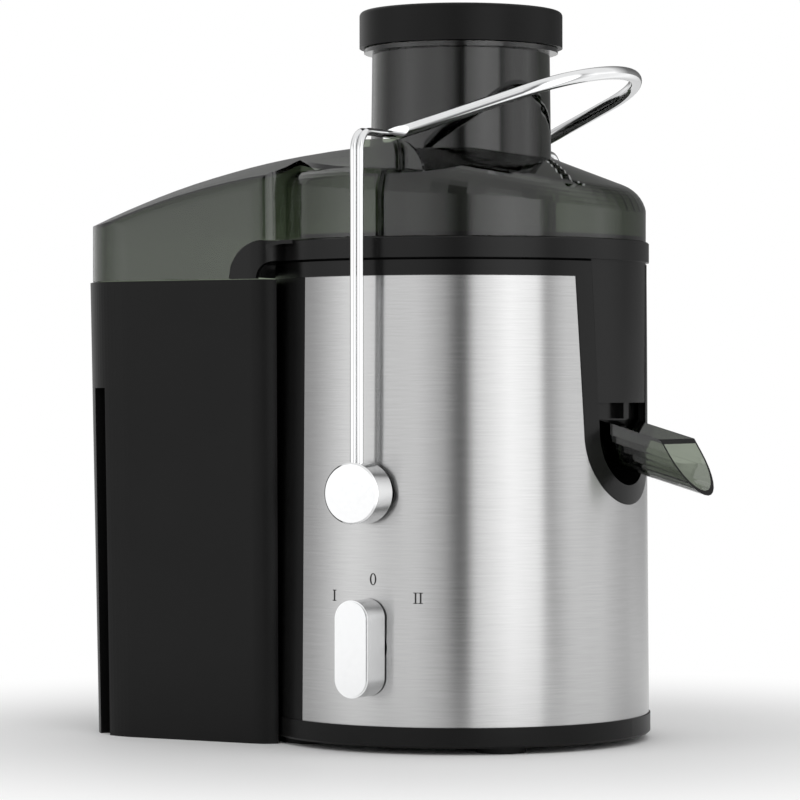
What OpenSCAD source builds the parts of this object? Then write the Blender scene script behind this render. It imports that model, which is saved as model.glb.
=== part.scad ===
// Centrifugal juicer: wide feed tube, smoked lid, pulp container and wire bail.
// Z points up from the counter, +X towards the spout and -Y is the front.
// Lengths are in millimetres. The middle of the footprint is at the origin.

/* [Body] */
// Outer radius of the body shell at its foot
body_r_bottom = 91; // [88:0.5:95]
// Outer radius of the body shell at its top edge
body_r_top = 89.5; // [87:0.5:93]
// Height of the body shell, from the base ring to the top trim
shell_h = 208.4; // [200:0.5:222]
// Wall of the plastic housing
housing_wall = 2.4; // [1.8:0.1:3]
// Thickness of the stainless sheet
sheet_t = 0.8; // [0.5:0.1:1.1]
// Angle that the sheet covers on each side of the spout
sheet_angle = 117; // [105:1:125]
// Height of the base ring
base_h = 9.6; // [8:0.2:12]
// How far the base ring stands out from the shell
base_lip = 0.7; // [0.3:0.1:1.5]
// Height of the feet under the base ring
foot_h = 3; // [2:0.2:5]
// Radius of a foot
foot_r = 12; // [9:0.5:14]
// Height of the trim on top of the shell
trim_h = 8; // [6:0.5:10]
// How far the trim stands out from the shell
trim_lip = 0.4; // [0.2:0.1:0.8]
// Depth of the deck under the top of the shell
deck_drop = 85; // [83:0.5:87]
// Thickness of the deck
deck_t = 3; // [2:0.2:4]

/* [Spout notch] */
// Half width of the steel cut-out at its round end
notch_half = 34.1; // [32:0.1:37]
// Extra half width that the cut-out gains up to the top edge
notch_draft = 4.4; // [2:0.1:6]
// Width of the black trim along the cut-out
notch_trim_w = 9; // [6:0.2:11]
// Height of the centre of the cut-out's round end above the deck
notch_z = 12; // [6:0.5:16]
// Distance from the motor axis to the back of the notch pocket
pocket_x = 54; // [52:0.5:60]

/* [Juice bowl] */
// Outer radius of the rim band
band_r = 91; // [88:0.5:95]
// Height of the rim band
band_h = 9.7; // [8:0.1:12]
// Wall of the bowl
bowl_wall = 2.2; // [1.6:0.1:3]
// Gap between the bowl's cup and the housing
bowl_gap = 1.8; // [1:0.1:2.4]
// Radius of the bore of the bowl's neck
neck_r = 23; // [21:0.5:27]
// Height of the bowl's neck above its floor
neck_h = 22; // [18:0.5:26]
// Height of the skirt above the spout, measured down from the top trim
skirt_h = 67; // [60:0.5:72]
// Outer radius of the hook that bridges to the pulp container
hook_r = 18; // [14:0.5:22]
// Distance from the motor axis to the centre of the hook
hook_x = 64.4; // [62:0.2:68]

/* [Spout] */
// Downward tilt of the spout
spout_tilt = 16; // [10:0.5:22]
// Half width of the spout at the top
spout_half = 19.5; // [17:0.5:22]
// Height of the straight sides of the spout's section
spout_side = 5; // [3:0.5:8]
// Height of the spout's section
spout_h = 21; // [18:0.5:24]
// Length of the spout's roof
spout_roof_l = 32.3; // [28:0.5:38]
// Length of the spout's bottom lip
spout_lip_l = 55; // [48:0.5:62]
// Wall of the spout
spout_wall = 1.8; // [1.2:0.1:2.4]
// Height of the spout's roof at the bowl, above the deck
spout_z = 17.9; // [15:0.5:21]

/* [Lid] */
// Outer radius of the lid's round part
lid_r = 89.5; // [86:0.5:93]
// Wall of the lid
lid_wall = 2.4; // [1.8:0.1:3]
// Height of the roof's ridge above the bowl's rim
ridge_h = 48.7; // [44:0.1:54]
// Radius of the ridge, seen from the front
ridge_r = 440; // [350:10:600]
// Distance of the ridge's highest point from the motor axis
ridge_x = 14; // [6:1:40]
// Radius of the roof's crown, seen from the side
crown_r = 212; // [180:4:300]
// Slope of the roof towards the spout
roof_slope = 22; // [18:0.5:26]
// Tilt of the round roof about the feed tube
roof_tilt = 11.5; // [8:0.5:14]
// Radius of the shoulder on the spout side
shoulder_r = 17; // [12:0.5:20]
// Height above the bowl's rim where the shoulder starts
shoulder_h = 10.4; // [8:0.2:14]
// Radius of the rounded far end over the pulp container
end_r = 32; // [20:1:40]
// Radius of the rounding where wall and roof meet
eave_r = 9; // [5:0.5:12]

/* [Feed tube and pusher] */
// Outer radius of the feed tube at its mouth
tube_r = 43; // [42:0.2:45]
// Bore radius of the feed tube
tube_bore_r = 39.8; // [38.5:0.1:40.2]
// Height of the feed tube above the bowl's rim
tube_h = 94; // [85:1:105]
// Radius of the flange at the tube's mouth
tube_flange_r = 47; // [45.5:0.1:48]
// Radial clearance between pusher and tube
pusher_gap = 0.6; // [0.4:0.1:1]
// Outer radius of the pusher's cap
cap_r = 49.2; // [48.6:0.2:52]
// Height of the pusher's cap
cap_h = 17.6; // [14:0.2:22]

/* [Pulp container] */
// Distance from the motor axis to the lid's far end
chute_end = 178; // [165:1:190]
// Half depth of the lid over the container
chute_half = 79; // [76:0.5:82]
// Distance from the motor axis to the chute's near side
chute_near = 58; // [55:0.5:60]
// Corner radius at the far end
far_corner_r = 37; // [28:0.5:42]
// Corner radius at the near side
near_corner_r = 13; // [8:0.5:16]
// How far the container stands out past the lid
bin_lip = 1.2; // [0.4:0.1:2]
// Wall of the container
bin_wall = 2; // [1.4:0.1:3]
// Gap between the container and the body
bin_gap = 4.3; // [2:0.1:7]
// Share of its top size that the container keeps at its foot
bin_draft = 0.965; // [0.94:0.005:0.995]
// Height of the finger grooves
groove_h = 169; // [140:1:185]
// Width of a finger groove
groove_w = 11.5; // [8:0.5:14]
// Depth of a finger groove
groove_d = 6; // [4:0.5:8]

/* [Bail] */
// Height of the bail's pivot from the deck, negative as it lies below
pivot_z = -15.5; // [-19:0.5:-14]
// Distance from the shell out to the bail's legs
leg_y = 11.7; // [9:0.1:15]
// Diameter of the leg wires
wire_d = 3.2; // [2.6:0.1:3.6]
// Distance between the two wires of a leg
wire_pitch = 3.5; // [3.3:0.1:4.5]
// Bend radius of the wires
wire_bend = 9; // [7:0.5:12]
// Height of the wires over the pivot
leg_h = 167; // [165.5:0.5:172]
// Diameter of the grip loop
loop_d = 6.2; // [5:0.1:7]
// Distance from the middle plane to the ends of the grip loop
loop_half = 68; // [64:0.5:72]
// How far the grip loop reaches past the motor axis
loop_reach = 88; // [80:0.5:95]
// Rise of the grip loop from its ends
loop_tilt = 19; // [14:0.5:24]
// Inward angle of the loop's arms
loop_taper = 20; // [14:0.5:24]
// Radius of the pivot caps
pivot_cap_r = 14.2; // [13:0.2:16]
// Depth of the pivot caps
pivot_cap_l = 14; // [12:0.5:16]
// Radius of the pivot pins
pin_r = 4; // [3:0.1:5]
// Running clearance of shafts and pins in their bores
run_gap = 0.05; // [0.02:0.01:0.08]

/* [Selector] */
// Height of the selector's axis
knob_z = 49; // [46:0.5:54]
// Length of the knob
knob_l = 45; // [38:0.5:48]
// Width of the knob
knob_w = 17.5; // [14:0.5:20]
// Depth of the knob
knob_d = 16.5; // [12:0.5:18]
// Clearance between the knob and the shell
knob_gap = 0.6; // [0.4:0.1:1.5]
// Radius of the selector's shaft
selector_shaft_r = 3; // [2.5:0.1:3.5]

/* [Sieve] */
// Outer radius of the sieve's rim ring
sieve_r = 78; // [76:0.5:79]
// Radius of the grating disc
grater_r = 45; // [43:0.5:47]
// Depth of the sieve cone
sieve_h = 46; // [42:0.5:48]
// Thickness of the sieve's sheet
sieve_t = 0.6; // [0.4:0.1:1]
// Rows of openings up the cone
sieve_rows = 5; // [3:1:6]
// Openings in one row
sieve_columns = 30; // [20:2:36]
// Rings of teeth on the grating disc
tooth_rings = 4; // [2:1:5]

/* [Motor] */
// Outer radius of the armature
armature_r = 24; // [22:0.5:25]
// Distance from the cores up to the deck
core_gap = 42; // [40:0.5:46]
// Height of the lower face of the cores
core_z = 54; // [52:0.5:56]
// Air gap between armature and stator
air_gap = 0.6; // [0.4:0.1:1]
// Radius of the motor shaft
shaft_r = 4; // [3:0.1:4.5]
// Radius of the cooling fan
fan_r = 35; // [30:0.5:36]
// Slots in the armature
armature_slots = 12; // [8:1:14]
// Blades on the cooling fan
fan_blades = 11; // [7:1:15]

/* [Hidden] */

$fn = 96;
cut = 0.5;
seat_gap = 0.3;

// Heights above the counter
z_base = foot_h;
z_shell = z_base + base_h;
z_trim = z_shell + shell_h;
z_band = z_trim + trim_h;
z_rim = z_band + seat_gap + band_h;
z_lid = z_rim + seat_gap;
z_deck = z_trim - deck_drop;
z_notch = z_deck + notch_z;
z_spout = z_deck + spout_z;
z_pivot = z_deck + pivot_z;
core_h = z_deck - core_gap - core_z;
z_bin = z_trim - 0.5;
z_ridge = z_rim + ridge_h;
z_tube = z_rim + tube_h;

// Footprint: the part is centred between the container's far end and the spout's lip
cup_r = min(body_r(z_deck), body_r_top) - sheet_t - housing_wall - bowl_gap;
spout_x = cup_r - 0.5;
x_far = -(chute_end + bin_lip);
x_lip = spout_x + spout_lip_l * cos(spout_tilt) - spout_h * sin(spout_tilt);
motor_x = -(x_far + x_lip) / 2;

black = "#17181a";
soft_black = "#26282b";
smoke = "#4d584f";
steel = "#b9bcbf";
chrome = "#dfe2e4";
copper = "#b4713a";

// A radius outside the body, its trim and the bowl's rim
clear_r = max(body_r_bottom, body_r_top, band_r) + 5;

// Outer radius of the body shell at a height
function body_r(z) = body_r_bottom + (body_r_top - body_r_bottom) * (z - z_shell) / shell_h;
// Largest radius of the shell within a distance of a height
function shell_out(z, reach) = max(body_r(z - reach), body_r(z + reach));
function polar(r, a) = [r * cos(a), r * sin(a)];
function arc(c, r, a0, a1, n) = [for (i = [0 : n]) c + polar(r, a0 + (a1 - a0) * i / n)];

module on_axis() {
    translate([motor_x, 0, 0]) children();
}

// A profile of X and Z, drawn along Y
module along_y(y0, y1) {
    translate([0, y1, 0]) rotate([90, 0, 0]) linear_extrude(y1 - y0) children();
}

// A profile of Y and Z, drawn along X
module along_x(x0, x1) {
    translate([x0, 0, 0]) rotate([90, 0, 90]) linear_extrude(x1 - x0) children();
}

// The same thing at the front and, mirrored, at the rear
module front_and_rear() {
    for (side = [0, 1]) mirror([0, side, 0]) children();
}

// A rod from the front towards the middle plane, at X and Z
module front_rod(x, z, y_out, y_in, r) {
    translate([x, -y_in, z]) rotate([90, 0, 0]) cylinder(r = r, h = y_out - y_in);
}

// A ring with square edges
module ring(r_in, r_out, z0, z1) {
    translate([0, 0, z0]) difference() {
        cylinder(r = r_out, h = z1 - z0);
        translate([0, 0, -cut]) cylinder(r = r_in, h = z1 - z0 + 2 * cut);
    }
}

// A solid cone that follows the body shell, shrunk by a depth
module body_cone(depth, z0, z1) {
    translate([0, 0, z0]) cylinder(r1 = body_r(z0) - depth, r2 = body_r(z1) - depth, h = z1 - z0);
}

// The spout notch in Y and Z, open at the top; inset makes it narrower
module notch_outline(inset) {
    half = notch_half - inset;
    slope = notch_draft / (z_trim - z_notch);
    top = z_lid + 10;
    translate([0, z_notch]) circle(r = half);
    polygon([
        [-half, z_notch], [half, z_notch],
        [half + slope * (top - z_notch), top], [-half - slope * (top - z_notch), top]
    ]);
}

/* ---- base and housing ---- */

y_leg = round(10 * (shell_out(z_pivot, pivot_cap_r) + leg_y)) / 10;
post_r = 5;
post_top = z_base + 32;
post_ring_r = body_r(post_top) - sheet_t - housing_wall - post_r + 0.85;
post_angles = [20, 160, 200, 340];
floor_t = 2.4;
post_seat = floor_t - 0.5;
upstand_r = body_r_bottom - sheet_t - housing_wall - seat_gap;
foot_angles = [48, 132, 228, 312];
foot_ring_r = body_r_bottom - foot_r - 2;
foot_stem_r = 3;
screw_r = 1.9;
screw_head_r = 3.6;

module base_tray() color(black) on_axis() difference() {
    union() {
        rotate_extrude() polygon([
            [0, z_base], [body_r_bottom + base_lip - 1, z_base],
            [body_r_bottom + base_lip, z_base + 1], [body_r_bottom + base_lip, z_shell],
            [upstand_r, z_shell], [upstand_r, z_shell + 5], [0, z_shell + 5]
        ]);
    }
    translate([0, 0, z_base + floor_t]) cylinder(r = upstand_r - 2.4, h = base_h + 10);
    for (a = post_angles) rotate(a) translate([post_ring_r, 0, 0]) {
        translate([0, 0, z_base + post_seat]) cylinder(r = post_r + seat_gap, h = base_h + 10);
        translate([0, 0, z_base - cut]) cylinder(r = screw_r + 0.2, h = 10);
        translate([0, 0, z_base - cut]) cylinder(r = screw_head_r + 0.2, h = cut + 1.4);
    }
    for (a = foot_angles) rotate(a) translate([foot_ring_r, 0, z_base - cut])
        cylinder(r = foot_stem_r + 0.1, h = 10);
    for (x = [-5 : 5]) translate([x * 8 - 1.6, -28, z_base - cut]) cube([3.2, 56, 10]);
}

module rubber_feet() color(soft_black) on_axis()
    for (a = foot_angles) rotate(a) translate([foot_ring_r, 0, 0]) {
        cylinder(r1 = foot_r - 0.8, r2 = foot_r, h = foot_h);
        cylinder(r = foot_stem_r, h = z_base + floor_t + 0.3);
        translate([0, 0, z_base + floor_t + 0.1])
            cylinder(r1 = foot_stem_r + 0.8, r2 = foot_stem_r - 0.6, h = 1.6);
    }

module housing_screws() color(steel) on_axis()
    for (a = post_angles) rotate(a) translate([post_ring_r, 0, 0]) {
        translate([0, 0, z_base + 0.2]) cylinder(r = screw_head_r, h = 1.2);
        translate([0, 0, z_base + 0.2]) cylinder(r = screw_r, h = 18);
    }

pivot_boss_r = 12;
pivot_boss_out = y_leg - 8.4;
pivot_boss_in = y_leg - 24;
selector_boss_r = 9;
gland_angle = 104;
gland_z = 32;
gland_r = 6;
collar_r = 21;
collar_h = 11;
mount_x = 24;
mount_post_r = 6;
mount_pin_r = 2.9;
mount_z = core_z + core_h + 27;
selector_boss_in = body_r(knob_z) - 10.7;
selector_bush_r = 6;
interlock_x = 17;
interlock_y = pivot_boss_in - 7;
cam_y = pivot_boss_in - 10;
mount_y = cam_y - 16;

// Room for the bowl and for the motor, either side of the deck
module housing_cavity() {
    depth = sheet_t + housing_wall;
    body_cone(depth, z_deck + deck_t, z_trim + 1);
    body_cone(depth, z_shell - 1, z_deck);
}

module motor_housing() color(black) on_axis() difference() {
    union() {
        difference() {
            body_cone(0, z_shell, z_trim);
            housing_cavity();
        }
        ring(collar_r - 2.4, collar_r, z_deck + 1, z_deck + deck_t + collar_h);
        // trough under the spout, below the deck
        intersection() {
            along_x(pocket_x - housing_wall, clear_r) notch_outline(notch_trim_w - housing_wall);
            body_cone(1, z_shell, z_deck + 1);
        }
        front_and_rear() front_rod(0, z_pivot, pivot_boss_out, pivot_boss_in, pivot_boss_r);
        front_rod(0, knob_z, body_r(knob_z) - 1.5, selector_boss_in, selector_boss_r);
        for (a = post_angles) rotate(a) translate([post_ring_r, 0, z_base + post_seat + seat_gap])
            cylinder(r = post_r, h = post_top - z_base);
        for (x = [-1, 1], y = [-1, 1]) translate([x * mount_x, y * mount_y, 0]) {
            translate([0, 0, mount_z + 6]) cylinder(r = mount_post_r, h = z_deck + 1 - mount_z - 6);
            translate([0, 0, mount_z - 4]) cylinder(r = mount_pin_r, h = 12);
        }
        rotate(gland_angle) translate([body_r(gland_z) - 6, 0, gland_z]) rotate([0, 90, 0])
            cylinder(r = gland_r + 4, h = 4.5);
        // pad that carries the interlock switch
        intersection() {
            translate([-interlock_x - 20, interlock_y + 5 + seat_gap, z_pivot - 7])
                cube([16, 20, 14]);
            body_cone(1, z_shell, z_trim);
        }
    }
    // seat of the steel sheet
    rotate_extrude(angle = 2 * sheet_angle + 0.4, start = -sheet_angle - 0.2) polygon([
        [body_r(z_shell - 1) - sheet_t - 0.05, z_shell - 1], [clear_r, z_shell - 1],
        [clear_r, z_trim + 1], [body_r(z_trim + 1) - sheet_t - 0.05, z_trim + 1]
    ]);
    along_x(pocket_x, clear_r) notch_outline(notch_trim_w);
    translate([0, 0, z_deck - 1]) cylinder(r = collar_r - 2.4, h = collar_h);
    front_and_rear() front_rod(0, z_pivot, y_leg, pivot_boss_in - 5, pin_r + run_gap);
    front_rod(0, knob_z, y_leg, selector_boss_in - 5, selector_bush_r + 0.1);
    for (a = post_angles) rotate(a) translate([post_ring_r, 0, z_base])
        cylinder(r = screw_r + run_gap, h = 24);
    rotate(gland_angle) translate([body_r(gland_z) - 10, 0, gland_z]) rotate([0, 90, 0])
        cylinder(r = gland_r + 0.1, h = 20);
}

// Round openings through shell and sheet: pivots, selector and cord
module wall_openings(extra) {
    front_and_rear() front_rod(0, z_pivot, y_leg, 60, pivot_boss_r + extra);
    front_rod(0, knob_z, y_leg, 60, selector_boss_r + extra);
    rotate(gland_angle) translate([60, 0, gland_z]) rotate([0, 90, 0])
        cylinder(r = gland_r + extra, h = 60);
}

module steel_wrap() color(steel) on_axis() difference() {
    rotate_extrude(angle = 2 * sheet_angle, start = -sheet_angle) polygon([
        [body_r(z_shell) - sheet_t, z_shell], [body_r(z_shell), z_shell],
        [body_r(z_trim), z_trim], [body_r(z_trim) - sheet_t, z_trim]
    ]);
    along_x(0, clear_r) notch_outline(-0.2);
    wall_openings(0.3);
}

// Black ring on top of the shell, and the frame of the spout notch
module housing_trim() color(black) on_axis() {
    r_out = body_r_top + trim_lip;
    r_in = body_r_top - sheet_t - housing_wall;
    difference() {
        rotate_extrude() polygon([
            [r_in, z_trim], [r_out, z_trim], [r_out, z_band - 0.8], [r_out - 0.8, z_band],
            [r_in, z_band]
        ]);
        along_x(0, clear_r) notch_outline(notch_trim_w);
    }
    intersection() {
        difference() {
            body_cone(-trim_lip, z_shell, z_trim);
            body_cone(sheet_t, z_shell - 1, z_trim + 1);
        }
        difference() {
            along_x(30, clear_r) notch_outline(0);
            along_x(20, clear_r + 5) notch_outline(notch_trim_w);
        }
    }
}

module cord_gland() color(soft_black) on_axis()
    rotate(gland_angle) translate([0, 0, gland_z]) rotate([0, 90, 0]) difference() {
        union() {
            translate([0, 0, body_r(gland_z) - 9]) cylinder(r = gland_r, h = 12);
            translate([0, 0, shell_out(gland_z, gland_r + 3) + seat_gap])
                cylinder(r1 = gland_r + 3, r2 = gland_r + 2, h = 3);
        }
        translate([0, 0, 50]) cylinder(r = gland_r - 2.8, h = 60);
    }

/* ---- juice bowl and spout ---- */

z_cup = z_deck + deck_t + 1;
z_floor = z_cup + bowl_wall;
rim_t = 2.4;
duct_inset = spout_wall + seat_gap;
duct_wall = 1.8;

// Plan of the lid over the container, rounded at its four corners
module chute_plan(grow) {
    x0 = -chute_end - grow;
    x1 = grow - chute_near;
    h = chute_half + grow;
    rf = far_corner_r + grow;
    rn = near_corner_r + grow;
    translate([x0 + rf, -h]) square([x1 - rn - x0 - rf, 2 * h]);
    translate([x0, rf - h]) square([rf + 1, 2 * (h - rf)]);
    translate([x1 - rn - 1, rn - h]) square([rn + 1, 2 * (h - rn)]);
    for (side = [-1, 1]) {
        translate([x0 + rf, side * (h - rf)]) circle(r = rf);
        translate([x1 - rn, side * (h - rn)]) circle(r = rn);
    }
}

// Side view of the hook that joins the bowl's rim to the container
module hook_outline(grow) {
    z0 = z_bin + seat_gap - grow;
    difference() {
        union() {
            translate([-hook_x, z_rim - hook_r]) circle(r = hook_r + grow);
            translate([-hook_x, z_rim - hook_r]) square([hook_x - 40, hook_r + grow]);
        }
        translate([-hook_x - hook_r - 5, z0 - 40]) square([hook_x + hook_r, 40]);
        if (grow == 0) {
            translate([5 - hook_x, z_rim - hook_r]) circle(r = hook_r - 9.7);
            translate([5 - hook_x, z_rim - hook_r - 10]) square([40, hook_r + 0.3]);
        }
    }
}

// The spout's section: flat roof, upright sides and a round belly
module spout_section(inset) {
    offset(delta = -inset) polygon(concat(
        [[spout_half, 0]],
        [for (i = [0 : 16]) [
            spout_half * cos(180 * i / 16),
            -spout_side - (spout_h - spout_side) * sin(180 * i / 16)
        ]],
        [[-spout_half, 0]]
    ));
}

module at_spout() {
    translate([spout_x, 0, z_spout]) rotate([0, spout_tilt, 0]) children();
}

module juice_bowl() color(black) on_axis() difference() {
    union() {
        rotate_extrude() polygon([
            [neck_r, z_cup], [cup_r, z_cup], [cup_r, z_rim - rim_t],
            [band_r - rim_t, z_rim - rim_t], [band_r - rim_t, z_band + seat_gap],
            [band_r, z_band + seat_gap], [band_r, z_rim - 0.6], [band_r - 0.6, z_rim],
            [cup_r - bowl_wall, z_rim], [cup_r - bowl_wall, z_floor],
            [neck_r + bowl_wall, z_floor], [neck_r + bowl_wall, z_floor + neck_h],
            [neck_r, z_floor + neck_h]
        ]);
        // skirt in the spout notch
        intersection() {
            rotate_extrude(angle = 80, start = -40) polygon([
                [body_r(z_band - skirt_h) - rim_t, z_band - skirt_h],
                [body_r(z_band - skirt_h) + 0.1, z_band - skirt_h],
                [body_r_top + 0.1, z_band + 2], [body_r_top - rim_t, z_band + 2]
            ]);
            along_x(40, clear_r) notch_outline(notch_trim_w + 0.4);
        }
        // web from the skirt down to the duct
        translate([cup_r - 1, -2.7, z_spout + 0.6]) cube([body_r_top - rim_t - cup_r + 2.4, 5.4, 13]);
        // duct that the spout slides over
        difference() {
            at_spout() along_x(-26, 12) spout_section(duct_inset);
            translate([0, 0, z_floor]) cylinder(r = cup_r - bowl_wall / 2, h = 40);
        }
        // hooked side walls of the pulp chute
        intersection() {
            along_y(-chute_half - 10, chute_half + 10) hook_outline(0);
            difference() {
                translate([0, 0, z_bin]) linear_extrude(40) chute_plan(bin_lip);
                translate([0, 0, z_bin - 1]) linear_extrude(42) chute_plan(bin_lip - rim_t);
                translate([0, 0, z_bin - 1]) cylinder(r = band_r - 1, h = 42);
            }
        }
        // curved lip that leads the pulp over the container's edge
        intersection() {
            rotate_extrude(angle = 116, start = 122) polygon(concat(
                [[band_r - 1, z_rim]],
                arc([band_r + 3, z_rim - 11], 11, 90, 0, 8),
                [[band_r + 14, z_bin + 3], [band_r + 12.2, z_bin + 3]],
                arc([band_r + 3, z_rim - 11], 11 - 1.8, 0, 90, 8),
                [[band_r - 1, z_rim - 1.8]]
            ));
            translate([-chute_end, 1 - chute_half, z_bin]) cube([chute_end, 2 * chute_half - 2, 40]);
        }
    }
    at_spout() along_x(-40, 14) spout_section(duct_inset + duct_wall);
}

module spout() color(smoke) on_axis() difference() {
    at_spout() along_x(-8, spout_lip_l + 5) spout_section(0);
    at_spout() along_x(-12, spout_lip_l + 10) spout_section(spout_wall);
    // slanted mouth
    at_spout() along_y(-30, 30) {
        lean = (spout_lip_l - spout_roof_l) / spout_h;
        polygon([
            [spout_roof_l - 2 * lean, 2], [spout_lip_l + 2 * lean, -spout_h - 2],
            [spout_lip_l + 60, -spout_h - 2], [spout_lip_l + 60, 2]
        ]);
    }
    // root that lies round the cup
    translate([0, 0, z_spout - 60]) cylinder(r = cup_r + seat_gap, h = 90);
}

/* ---- lid, feed tube and pusher ---- */

function ridge_drop(x) = ridge_r - sqrt(ridge_r * ridge_r - (x + ridge_x) * (x + ridge_x));
function crown_drop(y) = crown_r - sqrt(crown_r * crown_r - y * y);
roof_reach = lid_r + 6;
crown_steps = 8;
fin_top = z_pivot + leg_h - wire_d / 2 - 1.1;
fin_r = 17;
fin_t = 2.8;
fin_y = 81;
lip_r = cup_r - bowl_wall - 0.3;

// Turns a profile about the axis of the ridge's curve
module about_ridge() {
    translate([-ridge_x, 0, z_ridge - ridge_r]) rotate([90, 0, 0])
        rotate_extrude(angle = 46, start = 70) children();
}

// Everything below the crowned roof
module under_roof(inset) {
    about_ridge() polygon(concat(
        [[ridge_r - 130, -roof_reach]],
        [for (i = [-crown_steps : crown_steps])
            let (y = roof_reach * i / crown_steps) [ridge_r - inset - crown_drop(y), y]],
        [[ridge_r - 130, roof_reach]]
    ));
}

// Upright sides over the container, rounded into the roof
module chute_sides(inset) {
    h = chute_half - inset;
    e = eave_r - inset;
    c = [ridge_r - inset - crown_drop(h - e) - 0.93 * e, h - e];
    about_ridge() polygon(concat(
        [[ridge_r - 130, h]], arc(c, e, 90, 0, 6), [[ridge_r + 10, h - e - 3]],
        [[ridge_r + 10, e + 3 - h]], arc([c[0], -c[1]], e, 0, -90, 6), [[ridge_r - 130, -h]]
    ));
}

// Round wall with its rounded top edge
module round_wall(inset, z0) {
    r = lid_r - inset;
    e = eave_r - inset;
    z = z_ridge - inset - ridge_drop(0) - crown_drop(r - e) - 0.93 * e;
    rotate_extrude() polygon(concat(
        [[0, z0], [r, z0]], arc([r - e, z], e, 0, 90, 6),
        [[r - e - 3, z_ridge + 20], [0, z_ridge + 20]]
    ));
}

// The far end and the dome stand this much proud of what they round off, so that they cross it
lid_lap = 0.5;

// Rounded far end, seen from the front
module far_end(inset) {
    far = end_r - chute_end;
    turn = asin((-ridge_x - far) / (ridge_r - end_r));
    z_far = z_ridge - ridge_r + (ridge_r - end_r) * cos(turn) + lid_lap;
    polygon(concat(
        [[inset - chute_end, z_bin - 60]],
        arc([far, z_far], end_r - inset, 180, 90 + turn, 8),
        [[far + 10, z_ridge + 25], [clear_r, z_ridge + 25], [clear_r, z_bin - 60]]
    ));
}

// Everything below the dome round the feed tube, which tilts towards the spout
module under_dome(inset) {
    slope = roof_slope - roof_tilt;
    c = polar(lid_r + lid_lap - shoulder_r, roof_tilt);
    r = shoulder_r - inset;
    p = c + polar(r, roof_tilt);
    translate([0, 0, z_rim + shoulder_h]) rotate([0, roof_tilt, 0]) hull() rotate_extrude($fn = 64) polygon(concat(
        [[0, p[1] - 90], [p[0] + 90 * tan(roof_tilt), p[1] - 90]],
        arc(c, r, roof_tilt, 90 - slope, 8),
        [[0, c[1] + r / cos(slope) + c[0] * tan(slope)]]
    ));
}

module lid_form(inset, z0) {
    intersection() {
        union() {
            intersection() {
                translate([0, 0, z0]) linear_extrude(z_ridge + 15 - z0) chute_plan(-inset);
                chute_sides(inset);
            }
            intersection() {
                round_wall(inset, z0);
                under_dome(inset);
            }
        }
        under_roof(inset);
        along_y(-roof_reach + 1, roof_reach - 1) far_end(inset);
    }
}

module feed_lid() color(smoke) on_axis() difference() {
    union() {
        difference() {
            union() {
                lid_form(0, z_bin + 0.5);
                // fins that the bail's wires snap over
                front_and_rear() along_y(-fin_y, fin_t - fin_y) polygon(concat(
                    [[-12, fin_top - fin_r]], arc([5.9, fin_top - fin_r], fin_r, 0, 90, 8),
                    [[-10, fin_top], [-12, fin_top - 2]]
                ));
            }
            lid_form(lid_wall, z_bin - 10);
            // seat on the bowl's rim and on its hooks
            translate([0, 0, z_bin - 1]) cylinder(r = band_r + 0.4, h = z_lid - z_bin + 1);
            along_y(-chute_half - 10, chute_half + 10) hook_outline(seat_gap);
        }
        // ring that centres the lid in the bowl, open towards the container
        difference() {
            rotate_extrude() polygon([
                [lip_r - 2, z_rim - 3], [lip_r, z_rim - 3], [lip_r, z_lid],
                [lid_r - 1, z_lid], [lid_r - 1, z_lid + 2], [lip_r - 2, z_lid + 2]
            ]);
            translate([-band_r - 5, -band_r, z_rim - 10]) cube([band_r - 40, 2 * band_r, 20]);
        }
        translate([0, 0, z_tube_end]) cylinder(r = tube_r - 1.2, h = z_ridge - 10 - z_tube_end);
        translate([0, 0, z_ridge - 16]) cylinder(r1 = tube_r + 0.8, r2 = tube_r, h = z_tube - z_ridge + 16);
        translate([0, 0, z_tube - 2.2]) cylinder(r = tube_flange_r, h = 2.2);
    }
    translate([0, 0, z_tube_end - cut]) cylinder(r = tube_bore_r, h = z_tube - z_tube_end + 2 * cut);
}

pusher_r = tube_bore_r - pusher_gap;
pusher_wall = 2.2;
z_pusher = z_tube + seat_gap;

module pusher_body() color(black) on_axis() rotate_extrude() polygon([
    [0, z_tube_end + 3], [pusher_r - 1, z_tube_end + 3], [pusher_r, z_tube_end + 4],
    [pusher_r, z_pusher], [cap_r - 4, z_pusher], [cap_r - 4, z_pusher + 2],
    [pusher_r, z_pusher + 2], [pusher_r, z_pusher + cap_h - 5],
    [pusher_r - pusher_wall, z_pusher + cap_h - 5],
    [pusher_r - pusher_wall, z_tube_end + 3 + pusher_wall], [0, z_tube_end + 3 + pusher_wall]
]);

module pusher_cap() color(soft_black) on_axis() rotate_extrude() {
    top = z_pusher + cap_h;
    polygon(concat(
        [[0, top - 2.6], [pusher_r - pusher_wall - 2.6, top - 2.6]],
        [[pusher_r - pusher_wall - 2.6, top - 12], [pusher_r - pusher_wall - 0.2, top - 12]],
        [[pusher_r - pusher_wall - 0.2, top - 2.6], [cap_r - 2.6, top - 2.6]],
        [[cap_r - 2.6, z_pusher], [cap_r, z_pusher]],
        arc([cap_r - 2.2, top - 2.2], 2.2, 0, 90, 6),
        [[0, top]]
    ));
}

/* ---- sieve and drive ---- */

z_grater = z_rim - 8 - sieve_h;
cone_r0 = grater_r + 1.5;
cone_r1 = sieve_r - 3.5;
tooth_h = 2.2;
z_tube_end = z_grater + 1.1 + tooth_h + 5;
z_collar = z_deck + deck_t + collar_h;
coupling_r = 12.4;
coupling_h = 18;
spline_r = 15.4;
spline_w = 4;
splines = 6;
hub_gap = 0.4;
hub_r = 20;
z_coupling = z_collar + 1;
z_coupling_top = z_coupling + coupling_h;

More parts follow.
